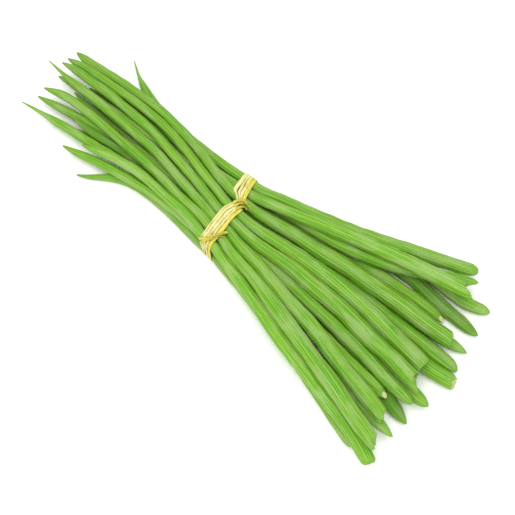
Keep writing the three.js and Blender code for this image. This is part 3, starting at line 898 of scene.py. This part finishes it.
# %% Rings of a strand
BACK_POINTS = 7
ACROSS = np.linspace(-1, 1, BACK_POINTS)
UNDER_WIDTH = 0.9
STRAND_THICK, FOLD_THICK = 0.6 * MM, 0.2 * MM
STRAND_SUNK = 0.05 * MM
LOOK_AHEAD = 3


def cross_section(bottom, thick, under):
    """Round a strand: how far to the side, as a share of half its width, and how high, in metres."""
    sides = np.append(ACROSS, UNDER_WIDTH * ACROSS[::-1])
    return sides, np.append(bottom + thick * np.sqrt(1 - ACROSS**2), [under] * BACK_POINTS)


def strand_rings(half, start, end, lift_mm, thick, seed):
    """Closed rings of points for a strand between two shares of its band's width."""
    bottom = STRIP_GAP + (FOLD_THICK if lift_mm else 0) + lift_mm * MM
    sides, heights = cross_section(bottom, thick, bottom - STRAND_SUNK)
    rings = []
    for k, (x, half_width) in enumerate(zip(*strand_course(half, start, end, seed))):
        path = path_at(half, x)
        ahead = path[(k + LOOK_AHEAD) % PATH_COUNT] - path[k - LOOK_AHEAD]
        ahead /= np.linalg.norm(ahead)
        out = np.array([ahead[1], -ahead[0]])
        y, z = (path[k] + heights[:, None] * out).T
        rings.append(np.column_stack([x + sides * half_width, y, np.maximum(z, 0)]))
    return np.array(rings)


print("points round a strand:", 2 * BACK_POINTS)

# %% [markdown]
# ## Winding the bands
#
# All the strands end up in one mesh, because they are one strip of raffia, folded. So each one adds
# its points and faces to shared lists, together with what the material will need: its tone, how near
# the edge of the strand a point is, whether it is the shaded fold, and a place on a straight strand.

# %% Wind the strands
FOLD_REACH = (0.04, 0.96)
FOLD_SEED, SEEDS_PER_HALF = 70, 40
# Half the width of a strand in the pattern, and the metres from one strand's part of it to the next.
FACE_HALF_MM, STRAND_SHIFT = 1.2, 0.1
raffia_points, raffia_faces = [], []
raffia_values = {"tone": [], "edge": [], "shade": [], "place": []}


def keep_strand(rings, tone, closed, seed, shade=0.0):
    """Add a strand's points, faces and values. A closed strand is a loop, and others get end faces."""
    start = sum(len(points) for points in raffia_points)
    rows, per_row, _ = rings.shape
    size = rows * per_row
    faces = ring_faces(rows + 1 if closed else rows, per_row)
    if not closed:
        faces += [tuple(reversed(range(per_row))), tuple(range(size - per_row, size))]
    raffia_points.append(rings.reshape(-1, 3))
    raffia_faces.extend(tuple(start + i % size for i in reversed(face)) for face in faces)

    steps = np.linalg.norm(np.diff(rings.mean(axis=1), axis=0), axis=1)
    run = np.concatenate([[0], np.cumsum(steps)])
    across = np.append(ACROSS, ACROSS[::-1])
    sideways = np.tile(across * FACE_HALF_MM * MM, rows) + seed * STRAND_SHIFT
    raffia_values["tone"].append(np.full(size, tone))
    raffia_values["shade"].append(np.full(size, shade))
    raffia_values["edge"].append(np.tile(np.abs(across), rows))
    raffia_values["place"].append(np.column_stack([sideways, np.zeros(size), np.repeat(run, per_row)]))


for half_index, half in enumerate(HALVES):
    # The fold under the strands carries painted shade: it is coloured brown all over.
    fold = strand_rings(half, *FOLD_REACH, 0, FOLD_THICK, FOLD_SEED + half_index)
    keep_strand(fold, 1.0, True, FOLD_SEED, shade=1.0)
    edge = 0.0
    for k, (width, lift, tone) in enumerate(STRANDS[half]):
        seed = SEEDS_PER_HALF * half_index + k
        keep_strand(strand_rings(half, edge, edge + width, lift, STRAND_THICK, seed), tone, True, seed)
        edge += width
print(len(raffia_points), "strands wound")

# %% [markdown]
# ## Loose ribbons
#
# The strip was finished with a half knot on the lower side of the wider half. A few strands pass over
# the band, twist together, and stick out as short frayed ends. Where the two halves meet, another
# end comes out from under the band and curls down between the pods.
#
# Each of these is a ribbon that follows a few points and turns about its own line. Real knots are
# hard to simulate at this size, and only a few folds of this one can be seen, so their points are
# listed one by one.

# %% One ribbon
RIBBON_STEPS = 44
RIBBON_HALF_THICK = 0.1 * MM
RIBBON_ROUND = 0.8 * STRAND_THICK
# How fast a ribbon reaches its full width, and how much and how often that width wanders.
TAPER, RIBBON_UNEVEN, RIBBON_WAVE = 4, 0.15, 0.3


def ribbon(points_mm, width_mm, twist_turns, tone, seed, ends):
    """A twisted ribbon along points in mm. The ends say how wide it starts and how wide it stops."""
    points = np.array(points_mm, float) * MM
    s = np.concatenate([[0], np.cumsum(np.linalg.norm(np.diff(points, axis=0), axis=1))])
    at = np.linspace(0, s[-1], RIBBON_STEPS)
    line = natural_curve(s, points, at)
    along = np.gradient(line, axis=0)
    along /= np.linalg.norm(along, axis=1, keepdims=True)
    side, up = cross_axes(along)
    share = at / s[-1]
    narrowed = np.minimum(ends[0] + TAPER * share, ends[1] + TAPER * (1 - share)).clip(0, 1)
    width = width_mm * MM * narrowed * (1 + RIBBON_UNEVEN * slow_noise(share, RIBBON_WAVE, seed))
    turn = (twist_turns * 2 * math.pi * share)[:, None]
    flat = side * np.cos(turn) + up * np.sin(turn)
    out = up * np.cos(turn) - side * np.sin(turn)
    sides, heights = cross_section(RIBBON_HALF_THICK, RIBBON_ROUND, -RIBBON_HALF_THICK)
    rings = line[:, None] + flat[:, None] * (sides * width[:, None] / 2)[:, :, None]
    rings += out[:, None] * heights[:, None]
    keep_strand(rings[:, ::-1], tone, False, seed)
    return s[-1]


print("steps along a ribbon:", RIBBON_STEPS)

# %% [markdown]
# ## Tying the knot
#
# The first three ribbons cross the band and end in the frayed tail, and the next two run the other
# way from the knot. The last three are the folded end between the halves, which curl over one
# another. The golden ones are outer folds of the leaf.

# %% Knot strands
# Points in mm, width in mm, turns about its line, tone (2 is gold), seed, width at both ends.
RIBBONS = [
    ([(-6, -31, 25.2), (-2.5, -28.5, 28.2), (1, -22.5, 29.6), (4, -16, 29.9), (8, -12, 29.4)],
     3.0, 0.5, 1.5, 91, (0.5, 0.6)),
    ([(-4.5, -32, 25), (-0.5, -27.5, 28.6), (2.5, -20, 30), (4.5, -16.5, 30), (7.5, -13.8, 29.2)],
     2.2, -0.6, 1.3, 92, (0.4, 0.4)),
    ([(-1, -29, 28.3), (2, -24, 29.6), (4.5, -20, 29.9), (7, -17.5, 29.3)],
     2.0, 0.4, 1.8, 93, (0.6, 0.2)),
    ([(3, -19.5, 30), (-2, -25, 29.6), (-6, -29.5, 27.8), (-10, -31.2, 25.6)],
     2.4, 0.3, 0.9, 94, (0.5, 0.9)),
    ([(-1, -27, 29), (-5, -29.5, 28), (-8.5, -31.4, 25.8)],
     1.8, -0.3, 0.5, 97, (0.5, 0.4)),
    ([(-8.3, 12.5, 28.3), (-5.5, 18.6, 29), (-1, 21.4, 29.3), (2.5, 20.8, 29), (6, 20, 28.4)],
     2.8, 0.3, 1.4, 95, (0.6, 0.3)),
    ([(-5, 11.5, 28.7), (-2, 17.6, 29.5), (1.5, 19.6, 29.4), (4.5, 20, 28.9), (7, 20, 28.2),
      (8.4, 18.4, 27.4)],
     2.2, -0.35, 1.1, 96, (0.6, 0.2)),
    ([(-1.5, 10.5, 28.9), (1, 15.3, 29.5), (3.6, 16.8, 29.3), (6, 16, 28.5)],
     2.4, 0.4, 1.6, 98, (0.5, 0.4)),
]
ribbon_lengths = [ribbon(*values) for values in RIBBONS]
print(len(RIBBONS), "ribbons of", *[round(length / MM) for length in ribbon_lengths], "mm")

# %% [markdown]
# ## One strip
#
# Now the lists become one mesh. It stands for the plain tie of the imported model, in the same place.

# %% Join the strands into one strip
raffia_mesh = bpy.data.meshes.new("raffia_strip")
raffia_mesh.from_pydata(np.concatenate(raffia_points).tolist(), [], raffia_faces)
raffia_mesh.polygons.foreach_set("use_smooth", [True] * len(raffia_mesh.polygons))
for name, parts in raffia_values.items():
    keep_values(raffia_mesh, name, np.concatenate(parts))
raffia_mesh.validate()
raffia = bpy.data.objects.new("raffia_strip", raffia_mesh)
bpy.context.scene.collection.objects.link(raffia)
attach(raffia, "root")
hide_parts("raffia_tie")
print("raffia:", len(raffia_mesh.polygons), "faces")

# %% [markdown]
# ## Dried raffia
#
# Dried raffia is a thin leaf skin, so it is satin rather than glossy, and full of straight fibres.
# They are drawn 0.4 mm apart, coarser than real ones, or they wouldn't show. Its inner folds bleach
# to cream and its outer folds stay yellow. Painted shade darkens the edges of each strand to golden
# brown and lays thin brown lines in its creases.

# %% Raffia material
# The gold is the real colour of fibres, blotches and outer folds, and also painted shade on the strand edges.
# The brown is painted shade, in the creases and on the fold under the strands.
RAFFIA_CREAM, RAFFIA_YELLOW, RAFFIA_GOLD, RAFFIA_SHADE_BROWN = "#dad694", "#d0c83c", "#aa9228", "#6e5b16"
RAFFIA_PATTERNS = {
    "fibre": (0.4, 18, 3.0, 0.0),
    "blotch": (1.5, 9, 4.0, 5.0),
    "crease": (0.55, 11, 2.0, 11.0),
}

dried_raffia, tree = empty_material("raffia_split_and_dried")
place = add(tree, "ShaderNodeAttribute", output="Vector", attribute_name="place")
STRAND_VALUES = ("tone", "edge", "shade")
here = {name: add(tree, "ShaderNodeAttribute", output="Fac", attribute_name=name) for name in STRAND_VALUES}
here.update(patterns(tree, place, RAFFIA_PATTERNS))

# A strand's tone, made a little more or less yellow in blotches.
blotchy = {"From Min": 0.35, "From Max": 0.65, "To Min": -0.25, "To Max": 0.35}
yellowing = add(tree, "ShaderNodeMapRange", {"Value": here["blotch"], **blotchy})
tone = add(tree, "ShaderNodeMath", {0: here["tone"], 1: yellowing}, operation="ADD")
gilding = add(tree, "ShaderNodeMapRange", {"Value": tone, "From Min": 1.0, "From Max": 2.0, "To Max": 0.8})
colour = linear(RAFFIA_CREAM)
for share, hex_colour in ((tone, RAFFIA_YELLOW), (gilding, RAFFIA_GOLD)):
    colour = add(tree, "ShaderNodeMix", {0: share, 6: colour, 7: linear(hex_colour)}, 2, data_type="RGBA")
RAFFIA_LAYERS = [
    (RAFFIA_GOLD, (here["fibre"], 0.5, 0.7, 0.0, 0.55)),
    (RAFFIA_GOLD, (here["blotch"], 0.52, 0.72, 0.0, 0.5)),
    # Painted shade: the edges of each strand, where its back curves away, darkened to gold.
    (RAFFIA_GOLD, (here["edge"], 0.75, 1.0, 0.0, 0.5)),
    # Painted shade: thin brown lines in the creases along a strand.
    (RAFFIA_SHADE_BROWN, (here["crease"], 0.6, 0.7, 0.0, 0.75)),
]
colour = paint(tree, colour, RAFFIA_LAYERS)
# Painted shade: the fold under the strands is brown.
shaded = {0: here["shade"], 6: colour, 7: linear(RAFFIA_SHADE_BROWN)}
rough_range = {"From Min": 0.3, "From Max": 0.7, "To Min": 0.5, "To Max": 0.7}
satin = {
    "Base Color": add(tree, "ShaderNodeMix", shaded, 2, data_type="RGBA"),
    "Roughness": add(tree, "ShaderNodeMapRange", {"Value": here["fibre"], **rough_range}),
    "IOR": 1.5,
    "Normal": add(tree, "ShaderNodeBump", {"Height": here["fibre"], "Distance": 0.2 * MM, "Strength": 0.7}),
}
add(tree, "ShaderNodeOutputMaterial", {"Surface": add(tree, "ShaderNodeBsdfPrincipled", satin)})
raffia_mesh.materials.append(dried_raffia)
print("raffia material:", len(tree.nodes), "nodes")

# %% [markdown]
# ## Table
#
# The bunch lies on a plain white table, large enough to fill the picture from above. It is matt, so it
# shows no reflection of the bunch.

# %% Table
TABLE_SIZE = 6.0
TABLE_WHITE = "#fdfdfb"

corners = [(x * TABLE_SIZE / 2, y * TABLE_SIZE / 2, 0) for x, y in ((-1, -1), (1, -1), (1, 1), (-1, 1))]
table_mesh = bpy.data.meshes.new("table")
table_mesh.from_pydata(corners, [], [(0, 1, 2, 3)])
table = bpy.data.objects.new("table", table_mesh)
bpy.context.scene.collection.objects.link(table)
table_top, tree = empty_material("table_matt_white")
matt = add(tree, "ShaderNodeBsdfPrincipled", {"Base Color": linear(TABLE_WHITE), "Roughness": 0.8})
add(tree, "ShaderNodeOutputMaterial", {"Surface": matt})
table_mesh.materials.append(table_top)
print("table", TABLE_SIZE, "m wide")

# %% [markdown]
# ## Light
#
# Most of the light comes from one large round lamp overhead, a little to the camera's side. So the
# pods are bright where they face us, and only the gaps between them are dark. A lamp much wider than
# the bunch gives shadows without hard edges. A weaker one, lower and further to that side, lights the
# stalk ends, and a white sky fills the rest.

# %% Lamps and sky
SKY_WHITE, SKY_STRENGTH = (1.0, 1.0, 1.0, 1.0), 0.8
# Name: place in metres, width in metres, and power in watts.
LAMPS = {
    "lamp_overhead": ((0.15, -0.35, 1.6), 1.3, 19),
    "lamp_side": ((0.9, -0.9, 1.0), 1.0, 3.1),
}

for name, (place, width, power) in LAMPS.items():
    light = bpy.data.lights.new(name, "AREA")
    light.shape, light.size, light.energy = "DISK", width, power
    lamp = bpy.data.objects.new(name, light)
    lamp.location = place
    lamp.rotation_euler = Vector(place).to_track_quat("Z", "Y").to_euler()
    bpy.context.scene.collection.objects.link(lamp)

world = bpy.data.worlds.new("studio")
world.use_nodes = True
sky = world.node_tree
sky.nodes.clear()
white = add(sky, "ShaderNodeBackground", {"Color": SKY_WHITE, "Strength": SKY_STRENGTH})
add(sky, "ShaderNodeOutputWorld", {"Surface": white})
bpy.context.scene.world = world
bpy.context.scene.view_settings.view_transform = "Standard"
print("lit by", len(LAMPS), "lamps and a white sky")
